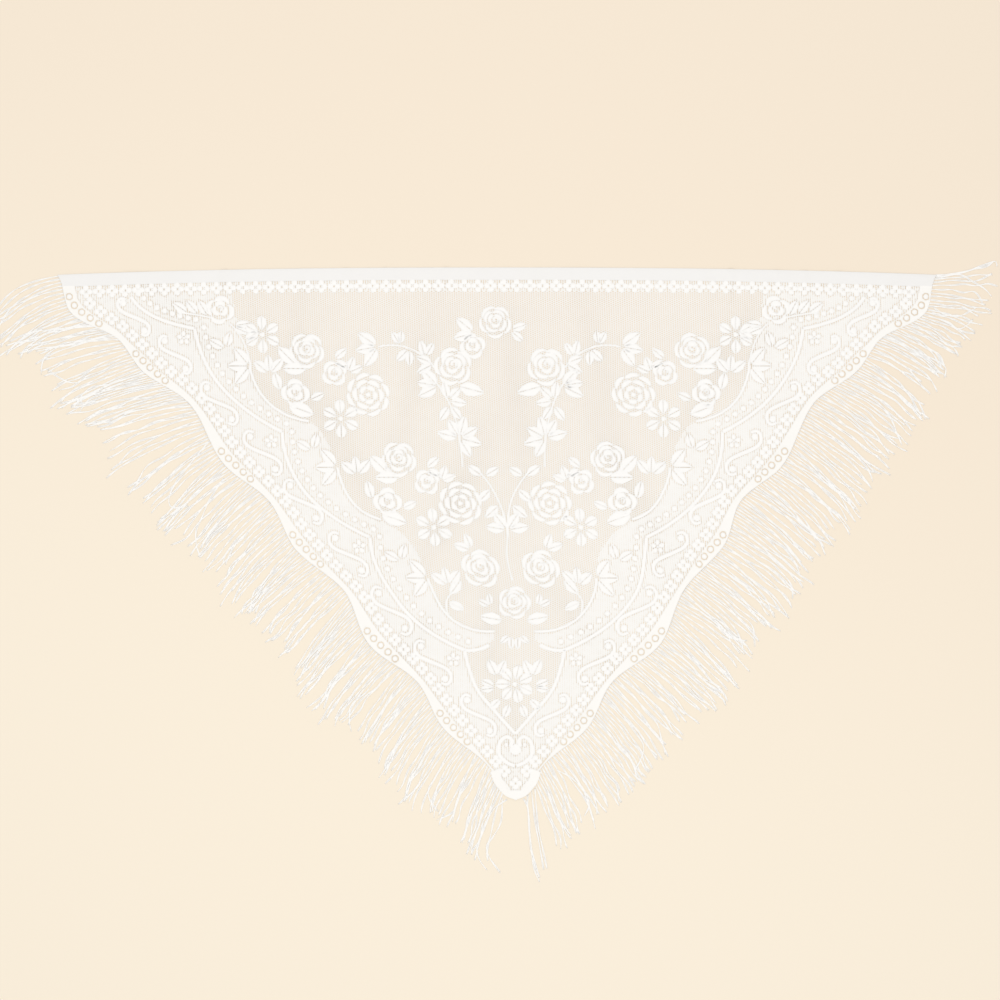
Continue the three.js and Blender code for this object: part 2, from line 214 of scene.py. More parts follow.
# The other flowers of one half, and those that stand only once, near the centre line.
FLOWERS = {
    "rose": table("across down radius", (417, 64, 22), (70, 149, 29), (45, 452, 29)),
    "blossom": table("across down radius", (355, 101, 27)),
}
CENTRE_FLOWERS = {
    "rose": table("across down radius", (-40, 118, 20), (-5, 82, 25), (0, 503, 25)),
}

# Leaves grow in fans. turn is the first leaf's direction in degrees from outwards to up, and
# step the angle to the next. Round a flower, at is the place on its rim, measured the same way.
BOUQUET_LEAVES = table(
    "flower at turn step leaves length",
    (0, -55, 45, 0, 1, 36),
    (0, -95, 0, 0, 1, 36),
    (1, 85, 140, 65, 2, 24),
    (1, 180, 110, 45, 2, 24),
    (2, 5, 75, 0, 1, 28),
    (2, -150, 155, 0, 1, 24),
    (2, -50, -160, 0, 1, 40),
)
FLOWER_LEAVES = table(
    "flower at turn step leaves length",
    (1, -100, -165, 0, 1, 38),
    (1, 10, -30, 50, 2, 26),
    (2, 70, 20, 50, 2, 26),
)
CENTRE_LEAVES = table(
    "flower at turn step leaves length",
    (0, 80, 140, 55, 2, 32),
    (1, -30, 20, -60, 2, 24),
)
TIP_LEAVES = table(
    "flower at turn step leaves length",
    (0, 20, 65, 50, 2, 28),
    (0, -10, 25, -35, 2, 23),
    (0, -45, -45, 0, 1, 23),
    (0, -75, -67, 0, 1, 23),
)

# The fans about the place where each garland starts.
GARLAND_LEAVES = table(
    "across down turn step leaves length",
    (-30, 12, 40, 45, 3, 28),
    (0, 0, 50, -50, 3, 32),
    (35, -25, 30, 75, 2, 26),
)
# The leaves beside and under the lowest rose.
LOWER_LEAVES = table(
    "across down turn step leaves length",
    (35, 510, 30, 50, 2, 20),
    (15, 530, 10, 0, 1, 34),
    (5, 550, -90, 50, 2, 20),
)

# Leaves on the stems, numbered as in STEMS, with share how far along the stem they grow.
STEM_LEAVES = table(
    "stem share turn step leaves length",
    (0, 0, 35, -45, 3, 33),
    (0, 0.35, 60, 35, 2, 22),
    (0, 0.5, -45, -45, 2, 25),
    (0, 0.8, 75, 45, 2, 24),
    (1, 0.15, 45, -36, 3, 32),
    (1, 0.35, 80, 55, 3, 26),
    (1, 0.4, -55, -70, 2, 26),
    (1, 0.75, 15, 45, 6, 31),
    (2, 0.15, 35, 115, 2, 26),
    (2, 0.35, -45, 0, 1, 26),
    (2, 0.6, -40, 0, 1, 28),
    (2, 0.95, 10, 45, 2, 30),
    (3, 0.3, 35, 0, 1, 26),
    (3, 0.6, 50, 0, 1, 26),
    (3, 0.9, 60, 0, 1, 26),
    (4, 0.1, 170, 35, 2, 24),
    (4, 0.5, 150, 0, 1, 26),
    (5, 0.4, 130, 0, 1, 28),
    (5, 0.6, 205, 0, 1, 26),
)
CENTRE_STEM = ((0, 398), (-5, 432), (0, 470))
TIP_BLOSSOM = table("across down radius", (0, 625, 28))

# The stems: each is a quadratic curve from its first point over its handle to its last. The
# garlands are thick ones, which part the close ground of the border from the open field.
STEMS = (
    ((182, 119), (130, 108), (98, 150)),
    ((104, 164), (62, 206), (62, 300)),
    ((42, 302), (2, 340), (0, 400)),
    ((480, 68), (452, 70), (430, 76)),
    ((404, 84), (380, 104), (373, 150)),
    ((78, 482), (112, 490), (98, 524)),
)
GARLANDS = (
    ((375, 148), (362, 220), (290, 231)),
    ((250, 300), (236, 368), (188, 378)),
    ((127, 466), (108, 550), (30, 546)),
)
# Between and beyond the garlands, the open field's edge runs through these points.
FIELD_EDGE = (
    ((400, 36), (392, 85), (375, 148)),
    ((290, 231), (262, 246), (250, 300)),
    ((188, 378), (132, 408), (127, 466)),
    ((30, 546), (28, 560), (42, 568)),
)
# The short end of the ogee line past its last cusp.
OGEE_TAIL = ((75, 574), (56, 577), (38, 566))

# Creases across the top band, pressed in by folding.
CREASES = table(
    "across down reach size",
    (-409, 4, 60, 1.0),
    (-226, 3, 34, 0.6),
    (-166, 3, 30, 0.6),
    (-76, 2, 34, 0.6),
    (352, 4, 90, 1.0),
    (421, 5, 30, 0.6),
    (461, 6, 34, 0.7),
    (514, 8, 30, 0.6),
)

# Soft ridges where the laid cloth doesn't lie quite flat: x and y of the middle, the way it
# runs in degrees, half its length, its width and its height.
RIPPLES = table(
    "x y turn reach width height",
    (-430, 190, -42, 190, 16, 1.5),
    (-250, 60, -58, 150, 20, 1.8),
    (-300, 215, 82, 70, 14, 1.2),
    (-120, 140, 76, 120, 18, 1.4),
    (-60, -40, 64, 130, 20, 1.6),
    (30, 120, 96, 130, 22, 1.5),
    (150, 170, 104, 110, 16, 1.3),
    (190, -10, 116, 140, 20, 1.7),
    (330, 150, 60, 110, 16, 1.5),
    (420, 210, 48, 120, 14, 1.2),
    (-10, -230, 92, 120, 18, 1.5),
    (-120, -250, 50, 100, 14, 1.3),
    (130, -240, 130, 100, 16, 1.3),
    (24, -400, 86, 70, 12, 1.1),
)


# ---- Pattern space ----


def eased(rows, key, column, at):
    """A table's column at places between its rows, level at each row."""
    keys, values = rows[key], rows[column]
    at = np.asarray(at, float)
    i = np.clip(np.searchsorted(keys, at, side="right") - 1, 0, len(keys) - 2)
    t = np.clip((at - keys[i]) / (keys[i + 1] - keys[i]), 0, 1)
    return values[i] + (values[i + 1] - values[i]) * t * t * (3 - 2 * t)


def rows_of(rows):
    """The table's rows, one after another, each as a dictionary."""
    for values in zip(*rows.values()):
        yield dict(zip(rows, (float(v) for v in values)))


def lay(flat):
    """Pattern points to where they lie in the frame."""
    flat = np.asarray(flat, float)
    across, down = flat[..., 0], flat[..., 1]
    shift = eased(CENTRE_LINE, "down", "shift", down)
    return np.stack([across + shift, TOP_Y - down], axis=-1)


def straight_edge(across, inset):
    """Points along the straight edge, which drops a little towards the corners."""
    across = np.asarray(across, float)
    bow = CORNER_DROP * np.abs(across / HALF_EDGE) ** 2.4
    return np.stack([across, bow + inset], axis=-1)


SIDE_RUN = np.array([-HALF_EDGE, DEPTH - CORNER_DROP])
SIDE_LENGTH = float(np.hypot(*SIDE_RUN))
SIDE_ALONG = SIDE_RUN / SIDE_LENGTH
SIDE_OUT = np.array([SIDE_ALONG[1], -SIDE_ALONG[0]])
CORNER = np.array([HALF_EDGE, CORNER_DROP])


def side_line(along, out):
    """Right-half points at a distance along the side and out from its straight line."""
    along, out = np.broadcast_arrays(np.asarray(along, float), out)
    return CORNER + along[..., None] * SIDE_ALONG + out[..., None] * SIDE_OUT


def scalloped_side(along, inset):
    """Right-half points along the scalloped edge, or inside it by the inset."""
    return side_line(along, eased(SCALLOPS, "along", "out", along) - inset)


def handed(flat, hand):
    """Right-half points on the half that hand says, -1 on the left."""
    return np.asarray(flat, float) * (hand, 1)


def quadratic(start, handle, end, steps):
    t = np.linspace(0, 1, steps + 1)[:, None]
    start, handle, end = (np.asarray(p, float) for p in (start, handle, end))
    return start * (1 - t) ** 2 + handle * 2 * t * (1 - t) + end * t * t


def square_to(line):
    """Unit directions square to a line at its points, or to each line of an array."""
    way = np.gradient(line, axis=-2)
    way /= np.maximum(np.hypot(way[..., 0], way[..., 1]), 1e-9)[..., None]
    return np.stack([-way[..., 1], way[..., 0]], axis=-1)


def smooth_through(points, steps):
    """A smooth curve through a few points, as a Catmull-Rom spline."""
    p = np.asarray(points, float)
    p = np.vstack([2 * p[0] - p[1], p, 2 * p[-1] - p[-2]])
    t = np.linspace(0, 1, steps, endpoint=False)[:, None]
    spans = []
    for a, b, c, d in zip(p[:-3], p[1:-2], p[2:-1], p[3:]):
        bend = 2 * b + (c - a) * t + (2 * a - 5 * b + 4 * c - d) * t**2
        spans.append(0.5 * (bend + (3 * b - a - 3 * c + d) * t**3))
    return np.vstack([*spans, p[-2:-1]])


def resampled(points, pitch):
    """The same line with its points a pitch apart."""
    steps = np.r_[0, np.cumsum(np.hypot(*np.diff(points, axis=0).T))]
    count = max(int(round(steps[-1] / pitch)), 1)
    at = np.linspace(0, steps[-1], count + 1)
    return np.column_stack([np.interp(at, steps, points[:, k]) for k in (0, 1)])


ARC_STEPS = 24


def ogee_arc(start, end):
    """The arc of the ogee line from one cusp to the next."""
    a = np.array([start["across"], start["down"]])
    b = np.array([end["across"], end["down"]])
    chord = (b - a) / np.hypot(*(b - a))
    handle = (a + b) / 2 + np.array([chord[1], -chord[0]]) * start["sag"]
    return quadratic(a, handle + chord * start["lean"], b, ARC_STEPS)


cusps = list(rows_of(OGEE_CUSPS))
OGEE_ARCS = [ogee_arc(start, end) for start, end in zip(cusps, cusps[1:])]
CARTOUCHE_LINE = smooth_through(np.column_stack([CARTOUCHE["across"], CARTOUCHE["down"]]), 8)

REST_HEIGHT = 0.75
UNEVENNESS = 0.12
RIPPLE_SHARE = 0.6
CREASE_WIDTH = 3.2
CREASE_HEIGHT = 1.8


def surface(x, y):
    """How high the laid cloth's ground is over the floor."""
    waves = np.sin(x / 47 + 1.3 * np.sin(y / 61)) * np.sin(y / 39 + x / 150)
    z = REST_HEIGHT + UNEVENNESS * waves
    for row in rows_of(RIPPLES):
        turn = math.radians(row["turn"])
        along = (x - row["x"]) * math.cos(turn) + (y - row["y"]) * math.sin(turn)
        beside = (y - row["y"]) * math.cos(turn) - (x - row["x"]) * math.sin(turn)
        ridge = np.exp(-((along / row["reach"]) ** 2) - (beside / row["width"]) ** 2)
        z = z + RIPPLE_SHARE * row["height"] * ridge
    for row in rows_of(CREASES):
        below = (TOP_Y - row["down"] - y) / row["reach"]
        fade = np.clip(1 - below, 0, 1) ** 1.5
        ridge = np.exp(-(((x - row["across"]) / CREASE_WIDTH) ** 2))
        z = z + CREASE_HEIGHT * row["size"] * fade * ridge
    return z


# ---- Meshes ----


def mesh_object(name, points, faces, materials):
    """An object from points in millimetres."""
    mesh = bpy.data.meshes.new(name)
    mesh.from_pydata((np.asarray(points) * MM).tolist(), [], faces)
    mesh.shade_smooth()
    obj = bpy.data.objects.new(name, mesh)
    bpy.context.scene.collection.objects.link(obj)
    for material in materials:
        mesh.materials.append(material)
    return obj


class Relief:
    """Pieces of the knitted cloth: pattern points with a height over the ground."""

    def __init__(self):
        self.flat = []
        self.height = []
        self.faces = []
        self.finishes = []
        self.outlines = []
        self.count = 0

    def add(self, flat, height, faces, finish):
        self.flat.append(np.asarray(flat, float))
        self.height.append(np.broadcast_to(height, len(flat)).astype(float))
        self.faces.extend((np.asarray(face) + self.count).tolist() for face in faces)
        self.finishes.extend([finish] * len(faces))
        self.count += len(flat)

    def to_object(self, name, materials):
        laid = lay(np.vstack(self.flat))
        z = surface(laid[:, 0], laid[:, 1]) + np.concatenate(self.height)
        faces = [face_up(laid, face) for face in self.faces]
        obj = mesh_object(name, np.column_stack([laid, z]), faces, materials)
        obj.data.polygons.foreach_set("material_index", self.finishes)
        return obj


def face_up(laid, face):
    """The face's corners, in the order that makes it face up."""
    corners = laid[face]
    ahead = np.roll(corners, -1, axis=0)
    area = (corners[:, 0] * ahead[:, 1] - ahead[:, 0] * corners[:, 1]).sum()
    return face if area > 0 else face[::-1]


# How high a figure's rim and its top lie over the ground.
RIM = 0.15
CROWN = 0.7
PAD_SHOULDER = 0.62
THINNEST = 0.12

# The finishes, as the cloth's material slots.
GROUND = 0
SATIN = 1
BAND = 2


def ring_faces(count, inner, outer):
    """Quads between two rings of points that start at the given numbers."""
    i = np.arange(count)
    j = (i + 1) % count
    return np.column_stack([outer + i, outer + j, inner + j, inner + i])


def strip_faces(near, far, i):
    """Quads number i between two rows of points that start at the given numbers."""
    return np.column_stack([near + i, near + i + 1, far + i + 1, far + i])


def ribbon_faces(rows, count):
    """Quads between rows of points that follow one another."""
    i = np.arange(count - 1)
    return np.vstack([strip_faces(row * count, (row + 1) * count, i) for row in range(rows - 1)])


def pad(relief, outline, crown=CROWN):
    """A low cushion on a rounded outline."""
    outline = np.asarray(outline, float)
    count = len(outline)
    middle = outline.mean(axis=0)
    flat = np.vstack([outline, middle + (outline - middle) * PAD_SHOULDER, middle])
    height = np.r_[np.full(count, RIM), np.full(count + 1, crown)]
    i = np.arange(count)
    fan = np.column_stack([count + i, count + (i + 1) % count, np.full(count, 2 * count)])
    relief.add(flat, height, [*ring_faces(count, count, 0), *fan], SATIN)
    relief.outlines.append(outline)


def swash(relief, spine, half_width, shoulder=0.5):
    """A raised line along a row of points, with its own half width at each."""
    spine = np.asarray(spine, float)
    side = square_to(spine)
    count = len(spine)
    half_width = np.maximum(np.broadcast_to(half_width, count), THINNEST)[:, None]
    offsets = (-1, -shoulder, shoulder, 1) if shoulder else (-1, 0, 1)
    flat = np.vstack([spine + side * half_width * k for k in offsets])
    height = np.repeat([RIM if abs(k) == 1 else CROWN for k in offsets], count)
    relief.add(flat, height, ribbon_faces(len(offsets), count), SATIN)
    edge = spine + side * half_width
    relief.outlines.append(np.vstack([edge, (spine - side * half_width)[::-1]]))


def rays(angle):
    """Unit directions at an array of angles in radians."""
    return np.column_stack([np.cos(angle), np.sin(angle)])


def circle(middle, radius, sides):
    angle = np.linspace(0, 2 * math.pi, sides, endpoint=False)
    return np.asarray(middle) + radius * rays(angle)


def oval(middle, direction, length, width, sides):
    """An ellipse with its long axis along a unit direction."""
    angle = np.linspace(0, 2 * math.pi, sides, endpoint=False)
    direction = np.asarray(direction, float)
    beside = np.array([-direction[1], direction[0]])
    long_way = np.cos(angle)[:, None] * direction * length / 2
    return np.asarray(middle) + long_way + np.sin(angle)[:, None] * beside * width / 2


def unit(degrees):
    """The direction of an angle measured from across towards up, in pattern coordinates."""
    angle = math.radians(degrees)
    return np.array([math.cos(angle), -math.sin(angle)])


# ---- Bands, florets and rings ----

FLORET_PITCH = 19.8
FLORET_REACH = 5.6
FLORET_PETAL = (8.6, 8.8)
FLORET_CROWN = 0.55
TOP_FLORETS_INSET = 27.5
TOP_FLORETS_END = 617
TOP_FLORETS = 32
CHAIN_START = 64
CHAIN_END = 984
CHAIN_CLEARANCE = 10.5
LAST_FLORET = (0, 774)
RINGS_PAST_THE_CREST = 10
RINGS_IN_A_BULGE = 5
RING_PITCH = 14.6
RING_INSET = 8.5
RING_ROW_BOW = 3.6
RING_RADIUS = 5.9
RING_DOT = 3.9
RING_DOT_CROWN = 0.5


def floret(relief, middle):
    """Four round petals about a small sheer centre."""
    for quarter in range(4):
        direction = unit(90 * quarter)
        petal = oval(middle + direction * FLORET_REACH, direction, *FLORET_PETAL, 8)
        pad(relief, petal, FLORET_CROWN)


def florets(relief, hand):
    """The row of florets under the straight band, and the chain along the side band."""
    places = np.linspace(FLORET_PITCH / 2, TOP_FLORETS_END, TOP_FLORETS)
    for middle in straight_edge(places, TOP_FLORETS_INSET):
        floret(relief, handed(middle, hand))
    along = np.linspace(CHAIN_START, CHAIN_END, 240)
    chain = scalloped_side(along, eased(SCALLOPS, "along", "chain", along))
    for middle in resampled(chain, FLORET_PITCH):
        floret(relief, handed(middle, hand))


def ring_centres():
    """The middles of one side's rings: a short row in each bulge but the last."""
    out = SCALLOPS["out"]
    crest = (out[1:-1] > out[:-2]) & (out[1:-1] > out[2:])
    bulges = SCALLOPS["along"][1:-1][crest][:-1] + RINGS_PAST_THE_CREST
    step = np.arange(RINGS_IN_A_BULGE) - (RINGS_IN_A_BULGE - 1) / 2
    centres = []
    for bulge in bulges:
        inset = RING_INSET + RING_ROW_BOW * (1 - (step / 2) ** 2)
        centres.append(scalloped_side(bulge + step * RING_PITCH, inset))
    return np.vstack(centres)


def plain_knit(relief, outline, holes, inner_points, height):
    """A flat piece of plain knitting with round holes, as a triangle mesh."""
    loops = [outline, *holes]
    edges = []
    start = 0
    for loop in loops:
        i = np.arange(len(loop))
        edges.extend(np.column_stack([start + i, start + (i + 1) % len(loop)]).tolist())
        start += len(loop)
    points = np.vstack([*loops, inner_points])
    flat, _, faces, *_ = delaunay_2d_cdt(
        [Vector(p) for p in points], edges, [list(range(len(outline)))], 1, 1e-4
    )
    flat = np.array([tuple(p) for p in flat])
    middles = np.array([flat[face].mean(axis=0) for face in faces])
    kept = np.ones(len(faces), bool)
    for hole in holes:
        middle = hole.mean(axis=0)
        kept &= np.hypot(*(middles - middle).T) > np.hypot(*(hole[0] - middle)) * 0.93
    relief.add(flat, height, [face for face, keep in zip(faces, kept) if keep], GROUND)
    relief.outlines.append(outline)


EDGE_INSET = 0.3


def whole_side(inset):
    return scalloped_side(np.linspace(0, SIDE_LENGTH, 700), inset)


def side_across(down):
    """How far out the scalloped edge is at a distance down."""
    side = whole_side(EDGE_INSET)
    return float(np.interp(down, side[:, 1], side[:, 0]))


TOP_BAND_STEPS = 165
# From the outer edge inwards: how far in, and how high over the ground.
TOP_BAND_SECTION = ((0.2, -0.2), (1.6, 0.3), (6, 0.4), (12, 0.4), (17, 0.35), (BAND_WIDTH, 0.2))


def top_band(relief, hand):
    """The plain band along the straight edge, its outer edge turned down a little."""
    count = TOP_BAND_STEPS + 1
    lines = []
    for inset, _ in TOP_BAND_SECTION:
        across = np.linspace(0, side_across(CORNER_DROP + inset), count)
        lines.append(straight_edge(hand * across, inset))
    height = np.repeat([height for _, height in TOP_BAND_SECTION], count)
    relief.add(np.vstack(lines), height, ribbon_faces(len(lines), count), BAND)
    relief.outlines.append(np.vstack([lines[0], lines[-1][::-1]]))


SIDE_BAND_START = 6
SIDE_BAND_HEIGHT = 0.3


def side_band(relief, hand):
    """The plain knitting between the scalloped edge and the chain of florets."""
    along = np.linspace(SIDE_BAND_START, SIDE_LENGTH, 250)
    chain = eased(SCALLOPS, "along", "chain", along)
    outer = scalloped_side(along, EDGE_INSET)
    inner = scalloped_side(along[:-6], chain[:-6] - CHAIN_CLEARANCE)
    inner = inner[inner[:, 1] > straight_edge(inner[:, 0], BAND_WIDTH - 2)[:, 1]]
    outline = handed(np.vstack([outer, inner[::-1]]), hand)
    centres = handed(ring_centres(), hand)
    holes = [circle(middle, RING_RADIUS, 14) for middle in centres]
    inner_points = handed(scalloped_side(along[4:-10:2], 2.4), hand)
    plain_knit(relief, outline, holes, inner_points, SIDE_BAND_HEIGHT)
    for middle in centres:
        pad(relief, circle(middle, RING_DOT, 8), RING_DOT_CROWN)


LOBE_EDGE = ((38, 757), (31, 775), (16, 792), (0, 798.5))
LOBE_HEIGHT = 0.5


def apex(relief, hand):
    """Half of the plain rounded lobe at the point."""
    edge = smooth_through(LOBE_EDGE, 5)
    inner = np.column_stack([edge[:, 0] * 0.62, np.minimum(edge[:, 1] - 6, 784)])
    lobe = handed(np.vstack([edge, inner]), hand)
    relief.add(lobe, LOBE_HEIGHT, ribbon_faces(2, len(edge)), GROUND)


# ---- Lines, scrolls and dots of the border ----

LINE_HALF_WIDTH = 2.6
DOT_RADIUS = 4.2
DOT_OFFSET = 14
# The dots' spacing along each arc, from the corner to the point.
DOT_PITCHES = (12.5, 14.5, 15.5, 16.5)


def ogee_lines(relief, hand):
    lines = [resampled(line, 5) for line in (*OGEE_ARCS, CARTOUCHE_LINE)]
    for line in (*lines, quadratic(*OGEE_TAIL, 8)):
        swash(relief, handed(line, hand), LINE_HALF_WIDTH)


def nearest_gap(points, line):
    """Each point's distance to the nearest point of a line."""
    gaps = points[:, None, :] - line[None, :, :]
    return np.hypot(gaps[..., 0], gaps[..., 1]).min(axis=1)


def dot_row(relief, hand):
    """Dots that follow the ogee line on its inner side."""
    whole = np.vstack([resampled(arc, 2) for arc in OGEE_ARCS])
    for arc, pitch in zip(OGEE_ARCS, DOT_PITCHES):
        beside = arc + square_to(arc) * DOT_OFFSET
        beside = beside[nearest_gap(beside, whole) > DOT_OFFSET - 1.5]
        for middle in resampled(beside, pitch):
            pad(relief, circle(handed(middle, hand), DOT_RADIUS, 9))


# Half of a scroll: along the side and inwards from its middle, in half lengths.
SCROLL_HALF = (
    (0, 0),
    (0.27, 0.14),
    (0.64, 0.29),
    (0.96, 0.26),
    (1.16, 0.04),
    (1.15, -0.18),
    (0.94, -0.31),
)
SCROLL_EYE = (0.91, -0.06)
SCROLL_EYE_RADIUS = 5.2
SCROLL_HALF_WIDTH = 2.9


def scroll_points(row, points):
    """Points of a scroll, from points in its half lengths."""
    along, inward = np.array(points, float).T[:, :, None] * row["length"] / 2
    middle = side_line(row["along"], -row["inset"]) + SIDE_ALONG * row["length"] / 2
    return middle + along * SIDE_ALONG - inward * SIDE_OUT


def scrolls(relief, hand):
    """An S from one curl to the other, with a dot in the eye of each curl."""
    half = smooth_through(SCROLL_HALF, 4)
    whole = np.vstack([-half[::-1], half[1:]])
    taper = np.sin(np.linspace(0.4, math.pi - 0.4, len(whole))) ** 0.4
    for row in rows_of(SCROLLS):
        swash(relief, handed(scroll_points(row, whole), hand), SCROLL_HALF_WIDTH * taper)
        for eye in (SCROLL_EYE, np.negative(SCROLL_EYE)):
            middle = handed(scroll_points(row, [eye])[0], hand)
            pad(relief, circle(middle, SCROLL_EYE_RADIUS, 10))


HEART = ((1, 748), (14, 742), (25, 729), (23, 712), (13, 704), (5, 710), (8, 719))
HEART_EYE = (14, 716)
HEART_EYE_RADIUS = 3.2
# The bow inside the heart.
BOW = ((-7, 718), (0, 714), (7, 718), (9, 726), (3, 731), (-3, 731), (-9, 726))


def heart(relief, hand):
    """Half of the heart-shaped scroll above the point."""
    swash(relief, handed(smooth_through(HEART, 5), hand), SCROLL_HALF_WIDTH)
    pad(relief, circle(handed(HEART_EYE, hand), HEART_EYE_RADIUS, 9))


# ---- Flowers ----


PETAL_GAP = 1.2
PETAL_FULLEST = 0.62
ROSE_PETALS = (3, 4, 5)
# A rose no larger than this has one ring of petals less.
SMALL_ROSE = 23
PEONY_PETALS = (5, 6, 8)
BLOSSOM_PETALS = 6
TIP_PETALS = 7
SMALL_PETAL = (8.4, 7.2)
SMALL_PETAL_REACH = 6.6
# A small flower stands this far out from each cusp of the ogee line but the first.
SMALL_FLOWER_GAP = 22
LEAF_GAP = 5
LEAF_FULLEST = 0.44
STEM_STEPS = 20
STEM_HALF_WIDTH = 1.3
GARLAND_HALF_WIDTH = 2.0


def crescent(relief, middle, radius, half_width, start, end, lean):
    """A petal seen from the side: an arc that swells between its ends."""
    steps = max(int(abs(end - start) / 0.16), 5)
    angle = np.linspace(start, end, steps + 1)
    t = np.linspace(0, 1, steps + 1)
    swell = np.sin(math.pi * np.clip(t, 0.02, 0.98)) ** 0.5
    reach = radius + lean * (t - 0.5)
    spine = np.asarray(middle) + reach[:, None] * rays(angle)
    swash(relief, spine, half_width * swell, shoulder=0.45)


def leaf(relief, root, length, turn, width=0.56, fullest=LEAF_FULLEST):
    """Two halves beside a sheer vein, with the width and where it is fullest as shares of
    the length."""
    direction = unit(turn)
    beside = np.array([-direction[1], direction[0]])
    t = np.linspace(0, 1, 8)
    bias = math.log(0.5) / math.log(fullest)
    swell = np.sin(math.pi * np.clip(t, 0.02, 0.98) ** bias) ** 0.8
    for half in (-1, 1):
        half_width = length * width / 4 * swell
        spine = np.asarray(root) + np.outer(t * length, direction)
        spine = spine + np.outer(half * (0.4 + half_width), beside)
        swash(relief, spine, half_width)


def petal_ring(relief, middle, reach, thickness, petals, turn):
    """A ring of petals that bulge outwards and meet at their ends."""
    span = 1.5 * math.pi / petals
    for petal in range(petals):
        way = turn + petal * 2 * math.pi / petals
        centre = middle + 0.35 * reach * np.array([math.cos(way), math.sin(way)])
        start, end = way - span, way + span
        crescent(relief, centre, 0.68 * reach, thickness / 2, start, end, 0.1 * reach)


def rose(relief, middle, radius, turn):
    """Lobed rings of petals about a curled heart set a little above the middle."""
    middle = np.asarray(middle, float)
    rings = len(ROSE_PETALS) - (radius <= SMALL_ROSE)
    heart_radius = radius * 0.2
    pitch = (radius - heart_radius) / rings
    heart_middle = middle - (0, radius * 0.14)
    angle = np.linspace(0, 1.7 * math.pi, 12) + turn
    reach = heart_radius * np.linspace(0.15, 0.95, 12)
    curl = heart_middle + reach[:, None] * rays(angle)
    swash(relief, curl, radius * 0.06, shoulder=0)
    for ring in range(rings):
        ring_middle = heart_middle + (middle - heart_middle) * (ring + 1) / rings
        reach = heart_radius + pitch * (ring + 0.5)
        petals = ROSE_PETALS[ring]
        petal_ring(relief, ring_middle, reach, pitch - PETAL_GAP, petals, turn + 0.7 * ring)


def blossom(relief, middle, radius, turn, petals=BLOSSOM_PETALS):
    """Separate petals, each with a vein, about a small disc."""
    middle = np.asarray(middle, float)
    pad(relief, circle(middle, radius * 0.14, 8))
    for petal in range(petals):
        way = math.degrees(turn) + petal * 360 / petals
        root = middle + unit(way) * radius * 0.22
        leaf(relief, root, radius * 0.8, way, 0.66, PETAL_FULLEST)


def peony(relief, middle, radius, turn):
    """More and smaller ruffled petals than a rose has, and a disc in the middle."""
    middle = np.asarray(middle, float)
    pad(relief, circle(middle, radius * 0.12, 8))
    for ring, petals in enumerate(PEONY_PETALS):
        reach = radius * (0.34 + 0.29 * ring)
        petal_ring(relief, middle, reach, radius * 0.23, petals, turn + 0.5 * ring)


FLOWER_MAKERS = {"rose": rose, "blossom": blossom, "peony": peony}


def flower_group(relief, hand, kinds, place=(0, 0)):
    """The flowers of a table, placed from a point, and each turned a little differently."""
    for kind, rows in kinds.items():
        for number, row in enumerate(rows_of(rows)):
            turn = 0.9 * number + 0.5
            middle = np.add(place, (row["across"], row["down"]))
            turn = turn if hand > 0 else math.pi - turn
            FLOWER_MAKERS[kind](relief, handed(middle, hand), row["radius"], turn)


def small_flower(relief, middle, turn):
    """Five round petals about a dot."""
    pad(relief, circle(middle, 1.9, 6))
    for petal in range(5):
        direction = unit(turn + 72 * petal)
        pad(relief, oval(middle + direction * SMALL_PETAL_REACH, direction, *SMALL_PETAL, 8))


def leaf_fan(relief, hand, root, row):
    """Leaves from one root, with every other one a little shorter."""
    for number in range(int(row["leaves"])):
        turn = row["turn"] + number * row["step"]
        turn = turn if hand > 0 else 180 - turn
        length = row["length"] * (1 - 0.06 * (number % 2))
        leaf(relief, handed(root, hand) + unit(turn) * LEAF_GAP, length - LEAF_GAP / 2, turn)


def leaves_round(relief, hand, flowers, rows, place=(0, 0)):
    """Fans from the rims of a table's flowers."""
    flowers = list(rows_of(flowers))
    for row in rows_of(rows):
        flower = flowers[int(row["flower"])]
        middle = np.add(place, (flower["across"], flower["down"]))
        leaf_fan(relief, hand, middle + unit(row["at"]) * flower["radius"], row)


def leaves_at(relief, hand, rows, place=(0, 0)):
    """Fans whose roots are placed from a point."""
    for row in rows_of(rows):
        leaf_fan(relief, hand, np.add(place, (row["across"], row["down"])), row)


def stems(relief, hand):
    """The thin stems with their leaves, and the garlands with theirs."""
    lines = [quadratic(*stem, STEM_STEPS) for stem in STEMS]
    for line in lines:
        swash(relief, handed(line, hand), STEM_HALF_WIDTH, shoulder=0)
    for row in rows_of(STEM_LEAVES):
        root = lines[int(row["stem"])][round(row["share"] * STEM_STEPS)]
        leaf_fan(relief, hand, root, row)
    for garland in GARLANDS:
        swash(relief, handed(quadratic(*garland, STEM_STEPS), hand), GARLAND_HALF_WIDTH)
        leaves_at(relief, hand, GARLAND_LEAVES, garland[0])


def flowers_and_leaves(relief, hand):
    """All that grows in one half."""
    for bouquet in rows_of(BOUQUETS):
        place = (bouquet["across"], bouquet["down"])
        flower_group(relief, hand, BOUQUET_FLOWERS, place)
        leaves_round(relief, hand, BOUQUET_FLOWERS["rose"], BOUQUET_LEAVES, place)
    flower_group(relief, hand, FLOWERS)
    leaves_round(relief, hand, FLOWERS["rose"], FLOWER_LEAVES)
    leaves_round(relief, hand, TIP_BLOSSOM, TIP_LEAVES)
    leaves_at(relief, hand, LOWER_LEAVES)
    stems(relief, hand)
    for cusp in cusps[1:]:
        place = np.array([cusp["across"], cusp["down"]]) + SIDE_OUT * SMALL_FLOWER_GAP
        small_flower(relief, handed(place, hand), 20)


